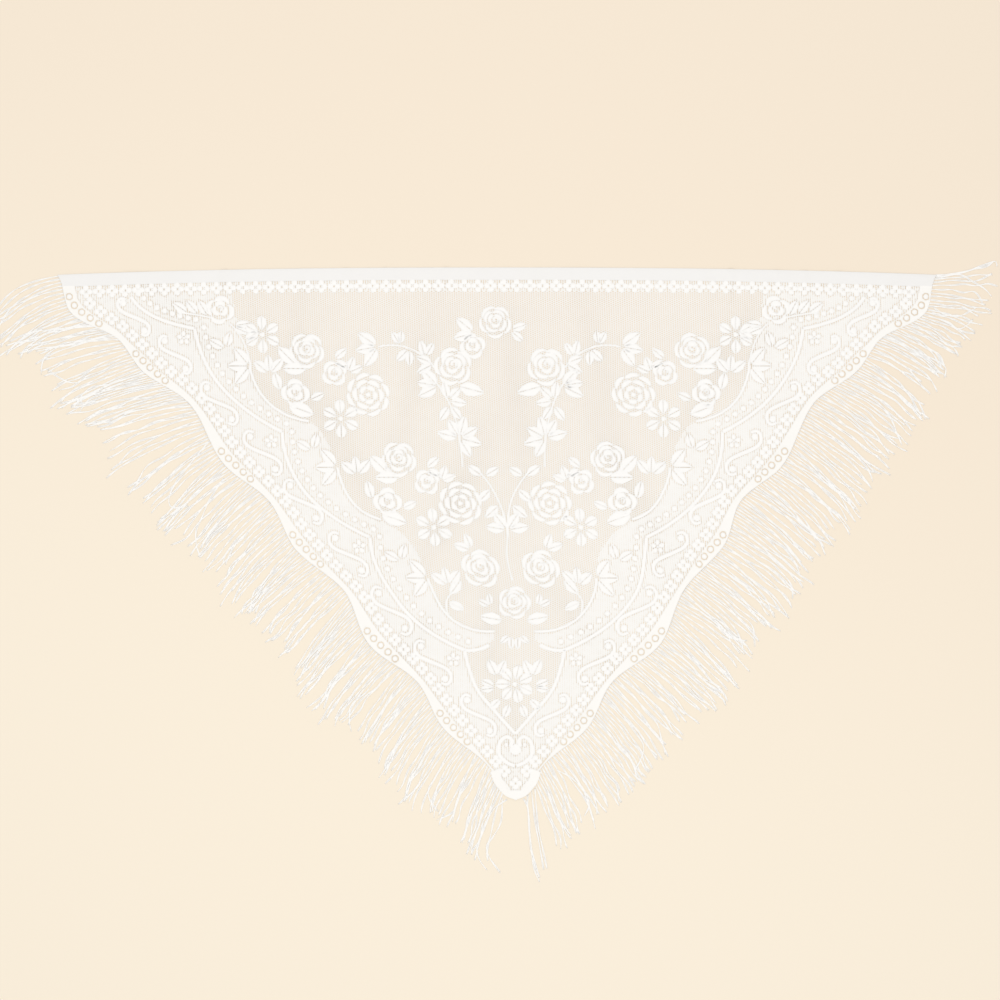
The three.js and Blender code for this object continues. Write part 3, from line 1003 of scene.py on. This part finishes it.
def centre_flowers(relief):
    """What stands only once, on or near the centre line."""
    flower_group(relief, 1, CENTRE_FLOWERS)
    leaves_round(relief, 1, CENTRE_FLOWERS["rose"], CENTRE_LEAVES)
    swash(relief, quadratic(*CENTRE_STEM, 10), STEM_HALF_WIDTH, shoulder=0)
    for row in rows_of(TIP_BLOSSOM):
        middle = (row["across"], row["down"])
        blossom(relief, middle, row["radius"], math.pi / TIP_PETALS, TIP_PETALS)


# ---- The knitted ground ----

WALE_PITCH = 3.4
COURSE = 1.6
# A map of the cloth in square cells says where the net is open and where figures lie.
MAP_CELL = 1.0
MAP_MARGIN = 12
MAP_ACROSS = int(2 * (HALF_EDGE + MAP_MARGIN) / MAP_CELL)
MAP_DOWN = int((DEPTH + 2 * MAP_MARGIN) / MAP_CELL)


def map_cells(flat):
    """The rows and columns of the map's cells that points are in."""
    across = ((flat[..., 0] + HALF_EDGE + MAP_MARGIN) / MAP_CELL).astype(int)
    down = ((flat[..., 1] + MAP_MARGIN) / MAP_CELL).astype(int)
    return np.clip(down, 0, MAP_DOWN - 1), np.clip(across, 0, MAP_ACROSS - 1)


def fill(cells, outline):
    """Marks the cells of the map inside an outline."""
    low, high = outline.min(axis=0), outline.max(axis=0)
    (top, bottom), (left, right) = map_cells(np.array([low, high]))
    across = (np.arange(left, right + 1) + 0.5) * MAP_CELL - HALF_EDGE - MAP_MARGIN
    down = (np.arange(top, bottom + 1) + 0.5) * MAP_CELL - MAP_MARGIN
    inside = np.zeros((len(down), len(across)), bool)
    ahead = np.roll(outline, -1, axis=0)
    for (x0, y0), (x1, y1) in zip(outline, ahead):
        if y0 == y1:
            continue
        rows = (down > min(y0, y1)) & (down <= max(y0, y1))
        crossing = x0 + (down[rows] - y0) / (y1 - y0) * (x1 - x0)
        inside[rows] ^= across[None, :] < crossing[:, None]
    window = cells[top : bottom + 1, left : right + 1]
    window[inside] = True


def grown(cells, steps):
    """The marked cells and those within a few steps of them."""
    for _ in range(steps):
        wider = cells.copy()
        wider[1:] |= cells[:-1]
        wider[:-1] |= cells[1:]
        wider[:, 1:] |= cells[:, :-1]
        wider[:, :-1] |= cells[:, 1:]
        cells = wider
    return cells


def open_outline():
    """The open net: the field inside the garlands, and the space over the point."""
    half = []
    for edge, garland in zip(FIELD_EDGE, (*GARLANDS, None)):
        half.append(quadratic(*edge, 8))
        if garland:
            half.append(quadratic(*garland, 8))
    half = np.vstack([*half, CARTOUCHE_LINE])
    return np.vstack([half, (half * (-1, 1))[::-1]])


def side_down(across):
    """How far down the scalloped side is at a distance across."""
    side = whole_side(0)
    return np.interp(np.abs(across), side[::-1, 0], side[::-1, 1])


OPEN_NET = {"half_width": 1.12, "swing": 1.12}
CLOSE_NET = {"half_width": 1.6, "swing": 0.08}
SHEER = {"half_width": 0.95, "swing": 0.4}
CLOSER_TO_THE_POINT = 0.14
WALE_TILT = 0.1
WALE_UNEVENNESS = 0.07
UNDER_THE_TOP_BAND = 4
UNDER_THE_SIDE_BAND = 6
# In cells: how far out from a figure the net is sheer, and how far in it is left out.
NEAR_A_FIGURE = 2
UNDER_A_FIGURE = 3


def wales(relief, hand, outlines):
    """One half of the ground: flat zigzag wales that meet their neighbours at every second course.

    In the open net they swing far enough to leave holes. In the border they run almost
    straight and leave slits. Under the raised figures there is none, and round them it is
    sheer."""
    field = np.zeros((MAP_DOWN, MAP_ACROSS), bool)
    fill(field, open_outline())
    solid = np.zeros_like(field)
    for outline in outlines:
        fill(solid, outline)
    near = grown(solid, NEAR_A_FIGURE)
    hidden = ~grown(~solid, UNDER_A_FIGURE)
    count = int(HALF_EDGE / WALE_PITCH)
    for number in range(count):
        across = hand * (number + 0.5) * WALE_PITCH
        top = float(straight_edge(across, BAND_WIDTH - UNDER_THE_TOP_BAND)[1])
        bottom = float(side_down(across)) - UNDER_THE_SIDE_BAND
        course = np.arange(math.ceil(top / COURSE), int(bottom / COURSE) + 1)
        if len(course) < 3:
            continue
        down = course * COURSE
        middle = np.column_stack([np.full(len(down), across), down])
        cells = map_cells(middle)
        is_open, is_near = field[cells], near[cells]
        half_width, swing = (
            np.select([is_open, is_near], [OPEN_NET[size], SHEER[size]], CLOSE_NET[size])
            for size in ("half_width", "swing")
        )
        half_width += is_open * CLOSER_TO_THE_POINT * down / DEPTH
        way = hand * (1 - 2 * ((course + number) % 2))
        middle[:, 0] += way * swing
        half_width *= rng.uniform(1 - WALE_UNEVENNESS, 1 + WALE_UNEVENNESS, len(down))
        side = half_width[:, None] * (1, 0)
        flat = np.vstack([middle - side, middle + side])
        height = np.repeat([-WALE_TILT, WALE_TILT], len(down))
        shown = ~(hidden[cells][:-1] & hidden[cells][1:])
        strip = strip_faces(0, len(down), np.flatnonzero(shown))
        relief.add(flat, height, strip, GROUND)


# ---- Fringe ----

YARNS_A_SIDE = 210
YARNS_IN_A_LOCK = 5
FIRST_ROOT = 4
LAST_ROOT = {"left": 1004, "right": 988}
ROOT_INSET = 1.5
LOCK_PINCH = 0.16
BEND_SHARE = 0.7
TURN_SPREAD = 2.6
REACH_SPREAD = 0.06
HOOKED_SHARE = 0.1
HOOK_CURL = 22
PLAIN_CURL = 5
CURL_START = 0.72
CURL_GAIN = 9
WANDER_WAVES = (1.0, 2.8)
WANDER_SIZE = (0.8, 3.2)
YARN_STEPS = 26
PLY_SECTION = ((-0.68, -0.12), (0.68, -0.12), (0.55, 0.14), (-0.55, 0.14))
PLY_SPREAD = 0.8
PLY_RISE = 0.12
PLY_TURNS = (0.7, 2.0)
YARN_REST = 0.45
YARN_LIFT = 0.35


def yarn_paths(hand, rows, last_root):
    """Middle lines of one side's yarns: an array of yarns by steps by x, y."""
    along = np.linspace(FIRST_ROOT, last_root, YARNS_A_SIDE)
    number = np.arange(YARNS_A_SIDE)
    lock = number // YARNS_IN_A_LOCK
    lock_middle = (lock + 0.5) * YARNS_IN_A_LOCK - 0.5
    shared = np.interp(lock_middle, number, along)
    lock_turn = rng.normal(0, TURN_SPREAD, lock.max() + 1)[lock]
    own_turn = rng.normal(0, TURN_SPREAD, YARNS_A_SIDE)
    own_reach = rng.normal(1, REACH_SPREAD, YARNS_A_SIDE)

    def path(at):
        root = lay(handed(scalloped_side(at, ROOT_INSET), hand))
        lean = eased(rows, "along", "lean", at) + lock_turn + own_turn
        bend = eased(rows, "along", "bend", at) * BEND_SHARE
        reach = eased(rows, "along", "reach", at) * own_reach
        middle = rays(np.radians(lean - bend / 2)) * (hand, -1)
        tip = rays(np.radians(lean)) * (hand, -1)
        return root, root + middle * reach[:, None] / 2, root + tip * reach[:, None]

    own, common = path(along), path(shared)
    pinched = [
        a + (b - a) * LOCK_PINCH * share
        for a, b, share in zip(own, common, (0, 0.5, 1))
    ]
    root, middle, tip = (p[:, None, :] for p in pinched)
    line = quadratic(root, 2 * middle - (root + tip) / 2, tip, YARN_STEPS)
    t = np.linspace(0, 1, YARN_STEPS + 1)[None, :]
    phase = rng.uniform(0, 2 * math.pi, (YARNS_A_SIDE, 1))
    waves = rng.uniform(*WANDER_WAVES, (YARNS_A_SIDE, 1))
    size = rng.uniform(*WANDER_SIZE, (YARNS_A_SIDE, 1))
    wander = size * t * np.sin(2 * math.pi * waves * t + phase)
    hooked = rng.random((YARNS_A_SIDE, 1)) < HOOKED_SHARE
    curl = rng.normal(0, 1, (YARNS_A_SIDE, 1)) * np.where(hooked, HOOK_CURL, PLAIN_CURL)
    sideways = wander + curl * np.clip(t - CURL_START, 0, 1) ** 2 * CURL_GAIN
    return line + square_to(line) * sideways[..., None]


def stray_paths(side):
    """Middle lines of the yarns that lie out of order, from their listed points."""
    paths = []
    for points in STRAYS[side]:
        smooth = smooth_through(points, 12)
        length = np.hypot(*np.diff(smooth, axis=0).T).sum()
        even = resampled(smooth, length / YARN_STEPS)
        paths.append(even[: YARN_STEPS + 1])
    return np.array(paths)


def fringe(name, side, hand, material):
    """Doubled yarns: two soft flat plies that wind loosely about each other on the floor."""
    line = yarn_paths(hand, FRINGE[side], LAST_ROOT[side])
    line = np.concatenate([line, stray_paths(side)])
    beside = square_to(line)
    yarns, steps, corners = len(line), YARN_STEPS + 1, len(PLY_SECTION)
    t = np.linspace(0, 1, steps)[None, :]
    turns = rng.uniform(*PLY_TURNS, (yarns, 1))
    phase = rng.uniform(0, 2 * math.pi, (yarns, 1))
    height = YARN_REST + rng.uniform(0, YARN_LIFT, (yarns, 1)) * np.sin(math.pi * t)
    out, up = (np.array(column) for column in zip(*PLY_SECTION))
    points, faces, start = [], [], 0
    for ply in (0, math.pi):
        twist = 2 * math.pi * turns * t + phase + ply
        middle = line + beside * (PLY_SPREAD * np.cos(twist))[..., None]
        z = height + PLY_RISE * np.sin(twist)
        taper = np.where(t > 0.97, 0.5, 1.0)[..., None] * np.ones((yarns, 1, 1))
        flat = middle[:, :, None, :] + beside[:, :, None, :] * (taper * out)[..., None]
        place = np.concatenate([flat, (z[..., None] + taper * up)[..., None]], axis=-1)
        points.append(place.reshape(-1, 3))
        yarn, step, corner = np.meshgrid(
            np.arange(yarns), np.arange(YARN_STEPS), np.arange(corners), indexing="ij"
        )
        first = start + (yarn * steps + step) * corners
        ahead = (corner + 1) % corners
        tube = [first + corner, first + ahead, first + corners + ahead, first + corners + corner]
        faces.extend(np.stack(tube, axis=-1).reshape(-1, 4).tolist())
        for end, order in ((0, slice(None, None, -1)), (YARN_STEPS, slice(None))):
            caps = start + (np.arange(yarns)[:, None] * steps + end) * corners
            faces.extend((caps + np.arange(corners)[order]).tolist())
        start += yarns * steps * corners
    return mesh_object(name, np.vstack(points), faces, [material])


# ---- Materials ----


def node_material(name):
    material = bpy.data.materials.new(name)
    material.use_nodes = True
    nodes = material.node_tree.nodes
    return material, nodes, material.node_tree.links, nodes["Principled BSDF"]


def add_node(nodes, kind, **inputs):
    node = nodes.new(kind)
    for key, value in inputs.items():
        node.inputs[key.replace("_", " ")].default_value = value
    return node


def colour_mix(nodes, links, factor, low, high):
    mix = nodes.new("ShaderNodeMix")
    mix.data_type = "RGBA"
    links.new(factor, mix.inputs["Factor"])
    mix.inputs["A"].default_value = (*low, 1)
    mix.inputs["B"].default_value = (*high, 1)
    return mix.outputs["Result"]


def knit_material(name, low, high, roughness, sheen, courses, bump):
    """Knitted yarn: loops in courses and wales, with a little unevenness in the colour."""
    material, nodes, links, shader = node_material(name)
    place = nodes.new("ShaderNodeTexCoord").outputs["Object"]
    patches = add_node(nodes, "ShaderNodeTexNoise", Scale=26.0, Detail=4.0)
    links.new(place, patches.inputs["Vector"])
    colour = colour_mix(nodes, links, patches.outputs["Fac"], low, high)
    links.new(colour, shader.inputs["Base Color"])
    rows = add_node(nodes, "ShaderNodeTexWave", Scale=courses, Distortion=2.0, Detail=1.0)
    rows.bands_direction = "Y"
    links.new(place, rows.inputs["Vector"])
    columns = add_node(nodes, "ShaderNodeTexWave", Scale=courses * 0.9, Distortion=1.0)
    columns.bands_direction = "X"
    links.new(place, columns.inputs["Vector"])
    loops = nodes.new("ShaderNodeMath")
    loops.operation = "MULTIPLY"
    links.new(rows.outputs["Fac"], loops.inputs[0])
    links.new(columns.outputs["Fac"], loops.inputs[1])
    relief = add_node(nodes, "ShaderNodeBump", Strength=bump, Distance=0.0004)
    links.new(loops.outputs[0], relief.inputs["Height"])
    links.new(relief.outputs["Normal"], shader.inputs["Normal"])
    shader.inputs["Roughness"].default_value = roughness
    shader.inputs["Sheen Weight"].default_value = sheen
    shader.inputs["Sheen Roughness"].default_value = 0.5
    shader.inputs["Specular IOR Level"].default_value = 0.25
    return material


# The floor's colours near and far: the far one is darker as painted shade for the light falling
# off.
FLOOR_NEAR = (0.869, 0.785, 0.657)
FLOOR_FAR = (0.852, 0.75, 0.622)


def floor_material():
    """A pale floor with painted shade: it turns a little warmer and darker towards the far right,
    where the light falls off.
    """
    material, nodes, links, shader = node_material("pale_floor")
    place = nodes.new("ShaderNodeTexCoord").outputs["Object"]
    lean = nodes.new("ShaderNodeVectorMath")
    lean.operation = "DOT_PRODUCT"
    links.new(place, lean.inputs[0])
    lean.inputs[1].default_value = (0.25, 0.75, 0)
    painted_falloff_shade = nodes.new("ShaderNodeMapRange")
    painted_falloff_shade.inputs["From Min"].default_value = -0.45
    painted_falloff_shade.inputs["From Max"].default_value = 0.45
    painted_falloff_shade.interpolation_type = "SMOOTHSTEP"
    links.new(lean.outputs["Value"], painted_falloff_shade.inputs["Value"])
    colour = colour_mix(nodes, links, painted_falloff_shade.outputs["Result"], FLOOR_NEAR, FLOOR_FAR)
    links.new(colour, shader.inputs["Base Color"])
    shader.inputs["Roughness"].default_value = 0.9
    shader.inputs["Specular IOR Level"].default_value = 0.1
    return material


ground_yarn = knit_material(
    "lace_ground_yarn", (0.9, 0.885, 0.855), (0.925, 0.91, 0.885), 0.8, 0.15, 300.0, 0.3
)
satin_yarn = knit_material(
    "lace_satin_yarn", (0.9, 0.89, 0.875), (0.925, 0.915, 0.9), 0.6, 0.2, 280.0, 0.3
)
# The top band's yarn is darker than the rest of the cloth: painted shade for the light falling off
# towards the top.
shaded_band_yarn = knit_material(
    "lace_band_yarn_painted_shade", (0.835, 0.825, 0.81), (0.86, 0.85, 0.84), 0.7, 0.15, 300.0, 0.3
)
fringe_yarn = knit_material(
    "fringe_yarn", (0.915, 0.905, 0.885), (0.94, 0.93, 0.915), 0.6, 0.3, 200.0, 0.1
)


# ---- The pieces ----

SIDES = {"left": -1, "right": 1}
lace = {side: Relief() for side in SIDES}
for side, hand in SIDES.items():
    top_band(lace[side], hand)
    side_band(lace[side], hand)
    apex(lace[side], hand)
    florets(lace[side], hand)
    ogee_lines(lace[side], hand)
    dot_row(lace[side], hand)
    scrolls(lace[side], hand)
    heart(lace[side], hand)
    flowers_and_leaves(lace[side], hand)
floret(lace["left"], LAST_FLORET)
pad(lace["left"], BOW)
centre_flowers(lace["left"])
all_outlines = lace["left"].outlines + lace["right"].outlines

for side, hand in SIDES.items():
    wales(lace[side], hand, all_outlines)
    cloth = lace[side].to_object(f"lace_{side}", [ground_yarn, satin_yarn, shaded_band_yarn])
    yarns = fringe(f"fringe_{side}_yarns", side, hand, fringe_yarn)
    for piece in (cloth, yarns):
        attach(piece, "root")
    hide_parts("lace_panel")
    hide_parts(f"fringe_{side}")

# ---- Floor, light and camera ----

FLOOR_SIZE = 8.0
VIEW_WIDTH = 1500
VIEW_ACROSS = 4.5
VIEW_BELOW_EDGE = 349
LENS = 70
SENSOR = 36

bpy.ops.mesh.primitive_plane_add(size=FLOOR_SIZE, location=(0, 0, 0))
floor = bpy.context.object
floor.name = "floor"
floor.data.materials.append(floor_material())

view_x = VIEW_ACROSS * MM
view_y = (TOP_Y - VIEW_BELOW_EDGE) * MM
camera_data = bpy.data.cameras.new("camera")
camera_data.lens = LENS
camera_data.sensor_width = SENSOR
camera = bpy.data.objects.new("camera", camera_data)
camera.location = (view_x, view_y, VIEW_WIDTH * MM * LENS / SENSOR)
bpy.context.scene.collection.objects.link(camera)
bpy.context.scene.camera = camera


def soft_light(name, place, size, power):
    """A round area light that points at the origin."""
    data = bpy.data.lights.new(name, "AREA")
    data.shape = "DISK"
    data.size = size
    data.energy = power
    light = bpy.data.objects.new(name, data)
    light.location = place
    light.rotation_euler = (-Vector(place)).to_track_quat("-Z", "Y").to_euler()
    bpy.context.scene.collection.objects.link(light)


soft_light("key", (-0.5, 0.8, 4.2), size=1.5, power=37)
soft_light("fill", (0.3, -1.2, 4.4), size=3.0, power=52)

world = bpy.data.worlds.new("studio")
world.use_nodes = True
background = world.node_tree.nodes["Background"]
background.inputs["Color"].default_value = (1, 0.985, 0.96, 1)
background.inputs["Strength"].default_value = 0.7
bpy.context.scene.world = world
bpy.context.scene.view_settings.view_transform = "Standard"
